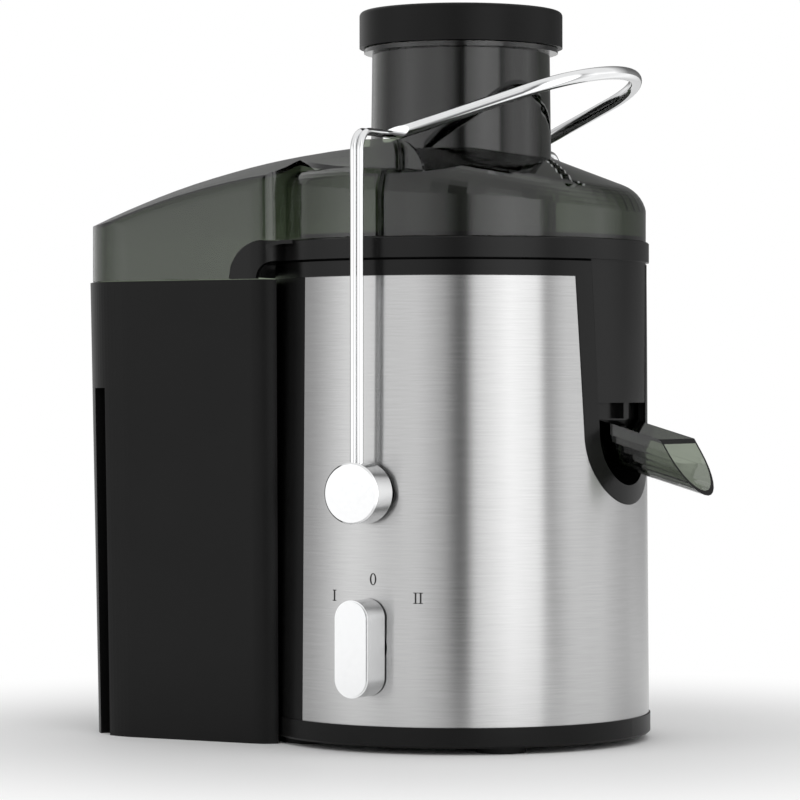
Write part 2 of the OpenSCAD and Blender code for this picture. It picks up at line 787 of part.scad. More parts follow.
module spline_ring(r, w, z0, z1) {
    for (i = [0 : splines - 1]) rotate(360 * i / splines)
        translate([0, -w / 2, z0]) cube([r, w, z1 - z0]);
}

module sieve_hub() color(black) on_axis() difference() {
    z = z_grater - sieve_t;
    rotate_extrude() polygon([
        [0, z_coupling + 3.5], [hub_r, z_coupling + 3.5], [hub_r, z - 9],
        [grater_r - 6, z - 4], [cone_r0 + 1.4, z - 3], [cone_r0 + 1.4, z - 1],
        [cone_r0 - 1, z], [8.6, z], [8.6, z_grater + 3], [6, z_grater + 6], [0, z_grater + 7]
    ]);
    translate([0, 0, z_coupling]) cylinder(r = coupling_r + hub_gap, h = coupling_h + seat_gap);
    spline_ring(spline_r + hub_gap, spline_w + 2 * hub_gap, z_coupling, z_coupling_top + seat_gap);
}

module sieve_cone() color(steel) on_axis() difference() {
    rotate_extrude() polygon([
        [grater_r - 7, z_grater - sieve_t], [cone_r0 + sieve_t, z_grater - sieve_t],
        [cone_r1 + sieve_t, z_grater + sieve_h], [cone_r1, z_grater + sieve_h],
        [cone_r0, z_grater], [grater_r - 7, z_grater]
    ]);
    lean = atan2(cone_r1 - cone_r0, sieve_h);
    pitch = (sieve_h - 8) / sieve_rows;
    for (row = [0 : sieve_rows - 1], i = [0 : sieve_columns - 1]) {
        z = 4 + pitch * (row + 0.5);
        r = cone_r0 + z * tan(lean);
        rotate(360 * (i + row % 2 / 2) / sieve_columns) translate([r, 0, z_grater + z])
            rotate([0, lean, 0]) cube([5, 1.6, pitch - 2], center = true);
    }
}

module sieve_rim() color(black) on_axis() rotate_extrude() {
    z = z_grater + sieve_h;
    polygon([
        [cone_r1 - 1.6, z + 0.1], [cone_r1 + sieve_t + 0.3, z + 0.1], [cone_r1 + sieve_t + 0.3, z - 4],
        [sieve_r - 1, z - 4], [sieve_r, z - 2], [sieve_r, z + 3], [sieve_r - 1.5, z + 4.6],
        [cone_r1 - 1.6, z + 2.6]
    ]);
}

// A ring of cutting teeth punched up from the disc
module tooth_row(r, count) {
    for (i = [0 : count - 1]) rotate(360 * i / count) translate([r, 0, z_grater + 1])
        rotate(90) along_y(-1.2, 1.2) polygon([[0, 0], [3.4, 0], [0.8, tooth_h + 0.1]]);
}

module grating_disc() color(steel) on_axis() {
    difference() {
        translate([0, 0, z_grater + 0.1]) cylinder(r = grater_r, h = 1);
        translate([0, 0, z_grater - 1]) cylinder(r = 8.8, h = 4);
    }
    step = (grater_r - 17) / tooth_rings;
    for (i = [0 : tooth_rings - 1]) {
        r = 15 + step * i;
        tooth_row(r, 2 * round(r * PI / 8));
    }
}

module drive_coupling() color(black) on_axis() difference() {
    union() {
        translate([0, 0, z_coupling]) cylinder(r = neck_r - 1, h = 2.5);
        translate([0, 0, z_coupling]) cylinder(r = coupling_r, h = coupling_h);
        spline_ring(spline_r, spline_w, z_coupling + 1, z_coupling_top);
    }
    translate([0, 0, z_coupling - cut]) cylinder(r = shaft_r + 0.02, h = coupling_h - 1);
}

module shaft_seal() color(soft_black) on_axis() rotate_extrude() {
    z = z_deck + deck_t + 3;
    r = collar_r - 2.42;
    polygon([
        [shaft_r + 0.3, z + 2], [shaft_r + 2, z + 1], [r - 2, z], [r, z], [r, z + 6], [r - 2, z + 6],
        [r - 2, z + 2], [shaft_r + 2, z + 3.5], [shaft_r + 0.3, z + 3]
    ]);
}

/* ---- motor ---- */

core_top = core_z + core_h;
stator_x = 48;
stator_y = 43;
slot_x0 = armature_r - 2;
slot_w = 15;
coil_y0 = 19;
coil_t = 12;
coil_end = 10.5;
bracket_w = 26;
bracket_t = 3;
bearing_r = 11;
bearing_h = 7;
cup_wall = 3;
z_upper = mount_z - bracket_t;
z_lower = core_z - 29;
bolt_r = 1.9;
bolt_x = 9;
bolt_y = stator_y - 2.5;
commutator_r = 11;
commutator_h = 14;
z_commutator = core_z - 24;
brush_w = 6;
z_brush = z_commutator + 3.5;

module motor_shaft() color(steel) on_axis() translate([0, 0, z_lower - 10])
    cylinder(r = shaft_r, h = z_coupling_top - 2 - z_lower + 10);

module armature_core() color("#7d7f82") on_axis() difference() {
    ring(shaft_r + 0.02, armature_r, core_z, core_top);
    for (i = [0 : armature_slots - 1]) rotate(360 * i / armature_slots)
        translate([15, -1.5, core_z - cut]) cube([12, 3, core_h + 2 * cut]);
}

module armature_windings() color(copper) on_axis() {
    for (z = [core_z - 0.2, core_top + 0.2], s = [z < core_top ? -1 : 1])
        rotate_extrude() polygon([
            [shaft_r + 0.5, z], [17.5, z], [17.5, z + 4 * s], [14, z + 7.5 * s],
            [shaft_r + 0.5, z + 7.5 * s]
        ]);
    for (i = [0 : armature_slots - 1]) rotate(360 * i / armature_slots)
        translate([15.2, -1.3, core_z - 2]) cube([armature_r - 17, 2.6, core_h + 4]);
}

module commutator() color(copper) on_axis() difference() {
    ring(shaft_r + 0.02, commutator_r, z_commutator, z_commutator + commutator_h);
    for (i = [0 : armature_slots - 1]) rotate(360 * (i + 0.5) / armature_slots)
        translate([commutator_r - 1.2, -0.4, z_commutator + 1.5]) cube([3, 0.8, commutator_h]);
}

module cooling_fan() color(soft_black) on_axis() translate([0, 0, core_top + coil_end + 1.5])
    difference() {
        union() {
            cylinder(r = 9, h = 9);
            cylinder(r = fan_r, h = 1.6);
            for (i = [0 : fan_blades - 1]) rotate(360 * i / fan_blades)
                translate([8, -0.8, 1]) cube([fan_r - 9, 1.6, 8]);
        }
        translate([0, 0, -cut]) cylinder(r = shaft_r + 0.02, h = 12);
    }

module at_bolts() {
    for (x = [-1, 1], y = [-1, 1]) translate([x * bolt_x, y * bolt_y, 0]) children();
}

module stator_core() color("#8d8f92") on_axis() translate([0, 0, core_z]) linear_extrude(core_h)
    difference() {
        intersection() {
            circle(r = stator_x + 6);
            square([2 * stator_x, 2 * stator_y], center = true);
        }
        circle(r = armature_r + air_gap);
        for (x = [-1, 1], y = [-1, 1]) translate([x * (slot_x0 + slot_w / 2), y * 20])
            square([slot_w, 24], center = true);
        at_bolts() circle(r = bolt_r + 0.1);
    }

module field_coils() color(copper) on_axis() front_and_rear()
    translate([0, -coil_y0, core_z + core_h / 2]) rotate([90, 0, 0]) linear_extrude(coil_t)
        difference() {
            offset(r = 5) square([2 * (slot_x0 + slot_w - 1) - 10, core_h + 2 * coil_end - 10], center = true);
            square([2 * slot_x0 + 2, core_h + 5], center = true);
        }

// A bracket across the core: bearing cup, plate and two feet on the core's end
module bracket(ear_x, ear_y) {
    difference() {
        union() {
            linear_extrude(bracket_t) {
                square([bracket_w, 2 * stator_y], center = true);
                if (ear_y > 0) for (y = [-1, 1]) translate([0, y * (stator_y + ear_y + 7) / 2])
                    square([2 * ear_x + 16, ear_y + 7 - stator_y + 10], center = true);
            }
            cylinder(r = bearing_r + cup_wall, h = bearing_h + 3);
            for (y = [-1, 1]) translate([-bracket_w / 2, y * (stator_y - 2.5) - 2.5, -foot_drop])
                cube([bracket_w, 5, foot_drop + 1]);
        }
        translate([0, 0, 2]) cylinder(r = bearing_r + 0.02, h = bearing_h + 2);
        translate([0, 0, -1]) cylinder(r = shaft_r + 2, h = 5);
        at_bolts() translate([0, 0, -foot_drop - cut]) cylinder(r = bolt_r + 0.1, h = foot_drop + 10);
        if (ear_y > 0) for (x = [-1, 1], y = [-1, 1]) translate([x * ear_x, y * ear_y, -1])
            cylinder(r = mount_pin_r + 0.3, h = bracket_t + 2);
    }
}

foot_drop = z_upper - core_top;

module upper_bracket() color("#a9abad") on_axis() translate([0, 0, z_upper])
    bracket(mount_x, mount_y);

module lower_bracket() color("#a9abad") on_axis() translate([0, 0, core_z - foot_drop])
    mirror([0, 0, 1]) bracket(0, 0);

module bearing(z) {
    difference() {
        ring(shaft_r + run_gap, bearing_r, z, z + bearing_h);
        ring(shaft_r + 2.4, bearing_r - 2, z + bearing_h - 0.6, z + bearing_h + 1);
    }
}

module upper_bearing() color(steel) on_axis() bearing(z_upper + 2.1);

module lower_bearing() color(steel) on_axis() bearing(core_z - foot_drop - 2.1 - bearing_h);

module brush_holders() color(soft_black) on_axis() {
    z0 = core_z - foot_drop + 0.2;
    ring(commutator_r + 3, stator_y - 7, z0, z0 + 3);
    for (side = [0, 1]) mirror([side, 0, 0]) difference() {
        translate([commutator_r + 2, -brush_w / 2 - 1.6, z0 + 1])
            cube([22, brush_w + 3.2, z_brush + brush_w + 1.6 - z0 - 1]);
        translate([commutator_r, -brush_w / 2 - 0.05, z_brush - 0.05])
            cube([30, brush_w + 0.1, brush_w + 0.1]);
    }
}

module carbon_brushes() color("#2a2a2c") on_axis()
    for (side = [0, 1]) mirror([side, 0, 0]) difference() {
        translate([commutator_r - 1, -brush_w / 2, z_brush]) cube([17, brush_w, brush_w]);
        translate([0, 0, z_brush - 1]) cylinder(r = commutator_r + 0.1, h = brush_w + 2);
    }

module motor_bolts() color(steel) on_axis() at_bolts() {
    z0 = core_z - foot_drop - bracket_t;
    translate([0, 0, z0 - 4]) cylinder(r = bolt_r, h = mount_z - z0 + 5);
    translate([0, 0, mount_z + 0.1]) cylinder(r = 3.4, h = 2.2);
    translate([0, 0, z0 - 3.1]) cylinder(r = 3.4, h = 3, $fn = 6);
}

module motor_mounts() color(soft_black) on_axis()
    for (x = [-1, 1], y = [-1, 1]) translate([x * mount_x, y * mount_y, 0])
        ring(mount_pin_r + 0.2, mount_post_r + 0.6, mount_z + 0.1, mount_z + 5.9);

/* ---- bail and interlock ---- */

cap_back = y_leg - 8;
cap_front = cap_back + pivot_cap_l;
z_loop = z_pivot + leg_h;
loop_run = loop_reach / cos(loop_tilt);
loop_c = (loop_run - loop_half * cos(loop_taper)) / (1 - sin(loop_taper));
loop_r = loop_run - loop_c;
cam_t = 6;
cam_r = 9;
cam_rate = 1.8;
plunger_gap = 0.6;
plunger_r = 2;

// Two wires side by side, up from the cap and over the lid's fin
module leg_wires() color(chrome) on_axis() for (side = [-1, 1]) {
    x = side * wire_pitch / 2;
    straight = leg_h - wire_bend;
    translate([x, -y_leg, z_pivot + 2]) cylinder(r = wire_d / 2, h = straight - 2);
    translate([x, wire_bend - y_leg, z_pivot + straight]) rotate([90, 0, -90])
        rotate_extrude(angle = 90) translate([wire_bend, 0]) circle(r = wire_d / 2);
    translate([x, wire_bend - y_leg, z_loop]) rotate([-90, 0, 0])
        cylinder(r = wire_d / 2, h = y_leg - wire_bend - loop_half);
}

module front_leg_wires() leg_wires();

module rear_leg_wires() mirror([0, 1, 0]) leg_wires();

module grip_loop() color(chrome) on_axis() intersection() {
    translate([0, 0, z_loop]) rotate([0, -loop_tilt, 0]) {
        translate([loop_c, 0, 0]) rotate_extrude(angle = 180 - 2 * loop_taper, start = loop_taper - 90)
            translate([loop_r, 0]) circle(r = loop_d / 2);
        arm = (loop_c + loop_r * sin(loop_taper)) * cos(loop_taper)
            + (loop_half - loop_r * cos(loop_taper)) * sin(loop_taper);
        front_and_rear() translate([0, -loop_half, 0]) rotate([0, 0, loop_taper]) rotate([0, 90, 0])
            translate([0, 0, -5]) cylinder(r = loop_d / 2, h = arm + 5);
    }
    translate([-20, -loop_half, z_pivot]) cube([loop_reach + 40, 2 * loop_half, leg_h + loop_reach]);
}

module pivot_cap() color(chrome) on_axis() difference() {
    union() {
        front_rod(0, z_pivot, cap_front - 0.8, cap_back, pivot_cap_r);
        translate([0, -cap_front + 0.8, z_pivot]) rotate([90, 0, 0])
            cylinder(r1 = pivot_cap_r, r2 = pivot_cap_r - 0.8, h = 0.8);
    }
    for (side = [-1, 1]) translate([side * wire_pitch / 2, -y_leg, z_pivot + 2])
        cylinder(r = wire_d / 2 + 0.02, h = 20);
    front_rod(0, z_pivot, cap_back + 3.2, cap_back - cut, pin_r + 0.02);
}

module front_pivot_cap() pivot_cap();

module rear_pivot_cap() mirror([0, 1, 0]) pivot_cap();

module pivot_pins() color(steel) on_axis() {
    front_rod(0, z_pivot, cap_back + 3, pivot_boss_in - 4, pin_r);
    mirror([0, 1, 0]) front_rod(0, z_pivot, cap_back + 3, cam_y - 2, pin_r);
}

module pivot_clips() color(steel) on_axis() front_and_rear() difference() {
    front_rod(0, z_pivot, pivot_boss_in - 0.4, pivot_boss_in - 1.6, pin_r + 3);
    front_rod(0, z_pivot, pivot_boss_in, pivot_boss_in - 3, pin_r + 0.02);
}

// Spiral cam: its radius falls evenly as the bail swings open
module interlock_cam() color(black) on_axis() difference() {
    translate([0, 0, z_pivot]) along_y(cam_y, cam_y + cam_t) polygon([
        for (a = [0 : 10 : 350])
            polar(a >= 160 && a <= 290 ? cam_r - cam_rate * (a - 180) * PI / 180 : pin_r + 1.6, a)
    ]);
    mirror([0, 1, 0]) front_rod(0, z_pivot, cam_y + cam_t + 1, cam_y - 1, pin_r + 0.02);
}

module interlock_switch() color("#3a3c3f") on_axis() difference() {
    translate([-interlock_x - 22, interlock_y - 5, z_pivot - 9]) cube([22, 10, 18]);
    translate([-interlock_x - 7, interlock_y, z_pivot]) rotate([0, 90, 0])
        cylinder(r = plunger_r + run_gap, h = 10);
}

module switch_plunger() color("#c9cbcd") on_axis()
    translate([-interlock_x - 4, interlock_y, z_pivot]) rotate([0, 90, 0])
        cylinder(r = plunger_r, h = interlock_x + 4 - cam_r - plunger_gap);

/* ---- selector ---- */

knob_back = shell_out(knob_z, knob_l / 2) + knob_gap;
knob_front = knob_back + knob_d;
switch_w = 26;
switch_d = 18;

module selector_knob() color("#c9cbce") on_axis() difference() {
    for (layer = [[0, 0.7], [0.7, 0]]) translate([0, 0, knob_z])
        along_y(layer[0] - knob_front, -knob_back) {
            r = knob_w / 2 - layer[1];
            for (z = [-1, 1]) translate([0, z * (knob_l - knob_w) / 2]) circle(r = r);
            square([2 * r, knob_l - knob_w], center = true);
        }
    front_rod(0, knob_z, knob_back + 8, knob_back - cut, selector_shaft_r + 0.02);
}

module selector_shaft() color(steel) on_axis()
    front_rod(0, knob_z, knob_back + 7.5, selector_boss_in - 16, selector_shaft_r);

module selector_switch() color(soft_black) on_axis() difference() {
    union() {
        front_rod(0, knob_z, knob_back - 1, selector_boss_in - 2, selector_bush_r);
        translate([-switch_w / 2, seat_gap - selector_boss_in, knob_z - switch_w / 2])
            cube([switch_w, switch_d, switch_w]);
    }
    front_rod(0, knob_z, knob_back, selector_boss_in - 20, selector_shaft_r + run_gap);
}

/* ---- pulp container ---- */

bin_centre = chute_near + 12;
bin_r = max(band_r, body_r_bottom, body_r_top) + bin_gap;

// Plan of the container at its rim; it curves round the body
module bin_plan(inset) {
    difference() {
        chute_plan(bin_lip - inset);
        circle(r = bin_r + inset, $fn = 120);
    }
}

// The same plan, drawn in towards the foot
module bin_form(inset, z0, z1) {
    k0 = bin_draft + (1 - bin_draft) * z0 / z_bin;
    k1 = bin_draft + (1 - bin_draft) * z1 / z_bin;
    translate([-bin_centre, 0, z0]) linear_extrude(z1 - z0, scale = k1 / k0)
        scale(k0) translate([bin_centre, 0]) bin_plan(inset);
}

// Grooves for the fingers at both far corners
module grooves(depth, width, top) {
    front_and_rear() translate([far_corner_r - chute_end, far_corner_r - chute_half, -cut])
        rotate(238) translate([(far_corner_r + bin_lip) * bin_draft - depth - 1.5, -width / 2, 0])
            cube([depth + 10, width, top + cut]);
}

module pulp_container() color(black) on_axis() difference() {
    bin_form(0, 0, z_bin);
    difference() {
        bin_form(bin_wall, bin_wall, z_bin + 1);
        grooves(groove_d + bin_wall, groove_w + 2 * bin_wall, groove_h + bin_wall);
    }
    grooves(groove_d, groove_w, groove_h);
}

base_tray();
rubber_feet();
housing_screws();
motor_housing();
steel_wrap();
housing_trim();
cord_gland();
juice_bowl();
spout();
feed_lid();
pusher_body();
pusher_cap();
sieve_hub();
sieve_cone();
sieve_rim();
grating_disc();
drive_coupling();
shaft_seal();
motor_shaft();
armature_core();
armature_windings();
commutator();
cooling_fan();
stator_core();
field_coils();
upper_bracket();
lower_bracket();
upper_bearing();
lower_bearing();
brush_holders();
carbon_brushes();
motor_bolts();
motor_mounts();
front_leg_wires();
rear_leg_wires();
grip_loop();
front_pivot_cap();
rear_pivot_cap();
pivot_pins();
pivot_clips();
interlock_cam();
interlock_switch();
switch_plunger();
selector_knob();
selector_shaft();
selector_switch();
pulp_container();
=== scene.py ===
import math

import bmesh
import bpy
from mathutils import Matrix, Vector


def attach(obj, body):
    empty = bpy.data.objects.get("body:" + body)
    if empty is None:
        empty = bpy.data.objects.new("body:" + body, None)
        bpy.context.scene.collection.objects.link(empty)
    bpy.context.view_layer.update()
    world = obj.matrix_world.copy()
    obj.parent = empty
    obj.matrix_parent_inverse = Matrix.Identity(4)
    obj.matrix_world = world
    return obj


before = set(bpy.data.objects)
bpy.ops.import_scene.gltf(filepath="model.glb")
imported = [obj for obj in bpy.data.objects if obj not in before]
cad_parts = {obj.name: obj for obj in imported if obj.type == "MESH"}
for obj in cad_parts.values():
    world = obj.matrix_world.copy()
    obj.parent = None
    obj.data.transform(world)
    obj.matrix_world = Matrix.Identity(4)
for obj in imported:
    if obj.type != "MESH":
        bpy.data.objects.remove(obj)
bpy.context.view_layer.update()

# ---------------------------------------------------------------------------
# Studio: a pale table top, a white surround and tall soft boxes with dark gaps
# between them, so that the steel shows its long upright bands. The camera stands
# in front, on the spout's side, at about half the juicer's height.
# ---------------------------------------------------------------------------
motor_x = 0.02406
view_side = math.radians(28)
camera_distance = 1.756
eye_height = 0.168

camera_data = bpy.data.cameras.new("studio_camera")
camera_data.lens = 163
camera_data.sensor_width = 36
camera_data.shift_x = -0.07625
camera_data.shift_y = -0.0125
camera_data.clip_end = 20
camera = bpy.data.objects.new("studio_camera", camera_data)
camera.location = (
    motor_x + camera_distance * math.sin(view_side),
    -camera_distance * math.cos(view_side),
    eye_height,
)
level_view = math.radians(90)
camera.rotation_euler = (level_view, 0, view_side)
bpy.context.scene.collection.objects.link(camera)
bpy.context.scene.camera = camera
bpy.context.scene.view_settings.view_transform = "Standard"


def add(tree, kind, **values):
    """A shader node; values set its own properties, or its sockets by name."""
    node = tree.nodes.new(kind)
    for key, value in values.items():
        if hasattr(node, key):
            setattr(node, key, value)
        else:
            node.inputs[key.replace("_", " ")].default_value = value
    return node


def math_node(tree, operation, first, second=None):
    """The output of a Math node on sockets or plain numbers."""
    node = tree.nodes.new("ShaderNodeMath")
    node.operation = operation
    for socket, value in zip(node.inputs, (first, second)):
        if isinstance(value, bpy.types.NodeSocket):
            tree.links.new(value, socket)
        elif value is not None:
            socket.default_value = value
    return node.outputs[0]


def set_ramp(ramp, stops):
    """Stops are (place, colour) pairs in order, with places from 0 to 1."""
    elements = ramp.color_ramp.elements
    elements[0].position, elements[0].color = stops[0][0], grey(stops[0][1])
    elements[1].position, elements[1].color = stops[-1][0], grey(stops[-1][1])
    for place, colour in stops[1:-1]:
        elements.new(place).color = grey(colour)


def grey(colour):
    """A level or three channels as a colour with full alpha."""
    if isinstance(colour, (int, float)):
        return (colour, colour, colour, 1)
    return (*colour, 1)


# brightness round the studio, by the angle in degrees from the front towards the spout
soft_boxes = [
    (-180, 0.7), (-125, 0.75), (-95, 0.58), (-80, 0.46), (-70, 0.62), (-56, 0.94),
    (-48, 1.14), (-40, 1.25), (-30, 1.16), (-16, 1.0), (0, 1.03), (5, 0.96), (13, 0.76),
    (18, 0.6), (23, 0.3), (27, 0.12), (31, 0.2), (36, 1.05), (40, 1.25), (51, 1.6),
    (58, 1.8), (70, 1.6), (76, 1.52), (81, 0.5), (90, 0.86), (98, 1.05),
    (112, 0.98), (131, 1.0), (150, 1.1), (180, 0.7),
]
brightest = 1.8
bands = bpy.data.node_groups.new("soft_box_bands", "ShaderNodeTree")
bands.interface.new_socket("Direction", in_out="INPUT", socket_type="NodeSocketVector")
bands.interface.new_socket("Level", in_out="OUTPUT", socket_type="NodeSocketColor")
given = bands.nodes.new("NodeGroupInput")
put = bands.nodes.new("NodeGroupOutput")
parts = add(bands, "ShaderNodeSeparateXYZ")
bands.links.new(given.outputs["Direction"], parts.inputs[0])
front = math_node(bands, "MULTIPLY", parts.outputs["Y"], -1.0)
angle = math_node(bands, "ARCTAN2", parts.outputs["X"], front)
turn = math_node(bands, "MULTIPLY_ADD", angle, 1 / (2 * math.pi))
turn.node.inputs[2].default_value = 0.5
ramp = add(bands, "ShaderNodeValToRGB")
# a colour ramp holds 32 stops at most, from 0 to 1
set_ramp(ramp, [((a + 180) / 360, level / brightest) for a, level in soft_boxes])
bands.links.new(turn, ramp.inputs[0])
bands.links.new(ramp.outputs[0], put.inputs["Level"])

world = bpy.data.worlds.new("studio")
bpy.context.scene.world = world
world.use_nodes = True
tree = world.node_tree
tree.nodes.clear()
direction = add(tree, "ShaderNodeTexCoord")
parts = add(tree, "ShaderNodeSeparateXYZ")
tree.links.new(direction.outputs["Generated"], parts.inputs[0])
walls = add(tree, "ShaderNodeGroup", node_tree=bands)
tree.links.new(direction.outputs["Generated"], walls.inputs[0])
# the boxes are brightest at the height of the juicer, and the ceiling is even
level = add(tree, "ShaderNodeMapRange", From_Min=0.02, From_Max=0.4, To_Min=1.3, To_Max=0.9)
tree.links.new(parts.outputs["Z"], level.inputs["Value"])
height = add(tree, "ShaderNodeMapRange", From_Min=0.35, From_Max=0.85)
tree.links.new(parts.outputs["Z"], height.inputs["Value"])
ceiling = add(tree, "ShaderNodeMix", data_type="RGBA")
tree.links.new(height.outputs[0], ceiling.inputs["Factor"])
tree.links.new(walls.outputs[0], ceiling.inputs[6])
ceiling.inputs[7].default_value = grey(1.0 / brightest)
studio_light = add(tree, "ShaderNodeBackground")
tree.links.new(ceiling.outputs[2], studio_light.inputs["Color"])
white = add(tree, "ShaderNodeBackground", Color=(1, 1, 1, 1), Strength=1.0)
rays = add(tree, "ShaderNodeLightPath")
by_eye, through = rays.outputs["Is Camera Ray"], rays.outputs["Is Transmission Ray"]
seen = math_node(tree, "MAXIMUM", by_eye, through)
# dark cards stand behind the juicer, where only its glossy edges mirror them
behind = add(tree, "ShaderNodeMapRange", From_Min=0.55, From_Max=0.85, To_Max=0.8)
tree.links.new(parts.outputs["Y"], behind.inputs["Value"])
carded = math_node(tree, "MULTIPLY", behind.outputs[0], rays.outputs["Is Glossy Ray"])
unlit = math_node(tree, "SUBTRACT", 1.0, carded)
strength = math_node(tree, "MULTIPLY", level.outputs[0], brightest)
tree.links.new(math_node(tree, "MULTIPLY", strength, unlit), studio_light.inputs["Strength"])
surround = add(tree, "ShaderNodeMixShader")
tree.links.new(seen, surround.inputs[0])
tree.links.new(studio_light.outputs[0], surround.inputs[1])
tree.links.new(white.outputs[0], surround.inputs[2])
world_out = add(tree, "ShaderNodeOutputWorld")
tree.links.new(surround.outputs[0], world_out.inputs[0])


def soft_light(name, place, target, size, size_y, watts):
    """A rectangular soft box that faces its target."""
    data = bpy.data.lights.new(name, "AREA")
    data.shape = "RECTANGLE"
    data.size, data.size_y, data.energy = size, size_y, watts
    lamp = bpy.data.objects.new(name, data)
    lamp.location = place
    aim = Vector(target) - Vector(place)
    lamp.rotation_euler = aim.to_track_quat("-Z", "Y").to_euler()
    bpy.context.scene.collection.objects.link(lamp)
    return lamp


overhead = soft_light(
    "overhead_soft_box", place=(0.1, -0.35, 1.7), target=(0, 0, 0.2), size=1.4, size_y=1.1, watts=4
)
overhead.visible_glossy = False


def new_material(name):
    """An empty material with one Principled shader, ready to be linked."""
    material = bpy.data.materials.new(name)
    material.use_nodes = True
    tree = material.node_tree
    tree.nodes.clear()
    shader = add(tree, "ShaderNodeBsdfPrincipled")
    out = add(tree, "ShaderNodeOutputMaterial")
    tree.links.new(shader.outputs[0], out.inputs["Surface"])
    return material, tree, shader


table_mesh = bmesh.new()
table_half = 6
bmesh.ops.create_grid(table_mesh, x_segments=1, y_segments=1, size=table_half)
table_data = bpy.data.meshes.new("table_top")
table_mesh.to_mesh(table_data)
table_mesh.free()
table = bpy.data.objects.new("table_top", table_data)
bpy.context.scene.collection.objects.link(table)
table_paint, tree, shader = new_material("table_white")
shader.inputs["Base Color"].default_value = grey(0.86)
shader.inputs["Roughness"].default_value = 0.55
shader.inputs["Specular IOR Level"].default_value = 0.3
# further out the top fades into the white surround
spot = add(tree, "ShaderNodeTexCoord")
reach = add(tree, "ShaderNodeVectorMath", operation="LENGTH")
tree.links.new(spot.outputs["Object"], reach.inputs[0])
fade = add(tree, "ShaderNodeMapRange", From_Min=0.16, From_Max=0.42)
fade.interpolation_type = "SMOOTHSTEP"
tree.links.new(reach.outputs["Value"], fade.inputs["Value"])
rays = add(tree, "ShaderNodeLightPath")
by_eye, through = rays.outputs["Is Camera Ray"], rays.outputs["Is Transmission Ray"]
seen = math_node(tree, "MAXIMUM", by_eye, through)
glow = add(tree, "ShaderNodeEmission", Color=(1, 1, 1, 1), Strength=1.0)
blend = add(tree, "ShaderNodeMixShader")
tree.links.new(math_node(tree, "MULTIPLY", seen, fade.outputs[0]), blend.inputs[0])
tree.links.new(shader.outputs[0], blend.inputs[1])
tree.links.new(glow.outputs[0], blend.inputs[2])
# and, for glossy rays, glows with a painted reflection of the soft boxes, in place of a polished
# white top mirroring them
centred = add(tree, "ShaderNodeVectorMath", operation="SUBTRACT")
centred.inputs[1].default_value = (motor_x, 0, 0)
tree.links.new(spot.outputs["Object"], centred.inputs[0])
walls = add(tree, "ShaderNodeGroup", node_tree=bands)
tree.links.new(centred.outputs[0], walls.inputs[0])
# painted reflection: an emission of the soft box bands that only glossy rays see
painted_reflection_glow = add(tree, "ShaderNodeEmission", Strength=brightest)
tree.links.new(walls.outputs[0], painted_reflection_glow.inputs["Color"])
painted_reflection_mix = add(tree, "ShaderNodeMixShader")
painted_reflection_share = math_node(tree, "MULTIPLY", rays.outputs["Is Glossy Ray"], fade.outputs[0])
tree.links.new(painted_reflection_share, painted_reflection_mix.inputs[0])
tree.links.new(blend.outputs[0], painted_reflection_mix.inputs[1])
tree.links.new(painted_reflection_glow.outputs[0], painted_reflection_mix.inputs[2])
out = next(n for n in tree.nodes if n.type == "OUTPUT_MATERIAL")
tree.links.new(painted_reflection_mix.outputs[0], out.inputs["Surface"])
table_data.materials.append(table_paint)

# ---------------------------------------------------------------------------
# Housing: black moulded shell, base ring and trim, with the drive's mouldings.
# Filled plastic with a fine spark-eroded grain that breaks up its soft shine; the
# trim and the bowl come from polished tools. Screws hold the base from below.
# ---------------------------------------------------------------------------
grain = bpy.data.node_groups.new("moulded_grain", "ShaderNodeTree")
for socket, level in (("Scale", 2200.0), ("Depth", 0.00002), ("Shine", 0.42), ("Spread", 0.08)):
    entry = grain.interface.new_socket(socket, in_out="INPUT", socket_type="NodeSocketFloat")
    entry.default_value = level
grain.interface.new_socket("Roughness", in_out="OUTPUT", socket_type="NodeSocketFloat")
grain.interface.new_socket("Normal", in_out="OUTPUT", socket_type="NodeSocketVector")
grain.interface.new_socket("Cloud", in_out="OUTPUT", socket_type="NodeSocketFloat")
given = grain.nodes.new("NodeGroupInput")
put = grain.nodes.new("NodeGroupOutput")
place = add(grain, "ShaderNodeTexCoord")
pits = add(grain, "ShaderNodeTexNoise", Detail=2.0, Roughness=0.6)
grain.links.new(place.outputs["Object"], pits.inputs["Vector"])
grain.links.new(given.outputs["Scale"], pits.inputs["Scale"])
cloud = add(grain, "ShaderNodeTexNoise", Scale=28.0, Detail=3.0)
grain.links.new(place.outputs["Object"], cloud.inputs["Vector"])
bump = add(grain, "ShaderNodeBump", Strength=0.35)
grain.links.new(pits.outputs["Fac"], bump.inputs["Height"])
grain.links.new(given.outputs["Depth"], bump.inputs["Distance"])
middle = math_node(grain, "SUBTRACT", cloud.outputs["Fac"], 0.5)
swing = math_node(grain, "MULTIPLY", middle, given.outputs["Spread"])
grain.links.new(math_node(grain, "ADD", swing, given.outputs["Shine"]), put.inputs["Roughness"])
grain.links.new(bump.outputs[0], put.inputs["Normal"])
grain.links.new(cloud.outputs["Fac"], put.inputs["Cloud"])


def moulded(name, dark, light, shine, scale=2200.0, depth=0.00002, spread=0.08, gloss=0.13):
    """Moulded plastic or rubber: two near tones, a grain and a shine."""
    material, tree, shader = new_material(name)
    texture = add(tree, "ShaderNodeGroup", node_tree=grain)
    for socket, level in (("Scale", scale), ("Depth", depth), ("Shine", shine), ("Spread", spread)):
        texture.inputs[socket].default_value = level
    tone = add(tree, "ShaderNodeMix", data_type="RGBA")
    tone.inputs[6].default_value = grey(dark)
    tone.inputs[7].default_value = grey(light)
    tree.links.new(texture.outputs["Cloud"], tone.inputs["Factor"])
    tree.links.new(tone.outputs[2], shader.inputs["Base Color"])
    tree.links.new(texture.outputs["Roughness"], shader.inputs["Roughness"])
    tree.links.new(texture.outputs["Normal"], shader.inputs["Normal"])
    shader.inputs["Specular IOR Level"].default_value = gloss
    return material


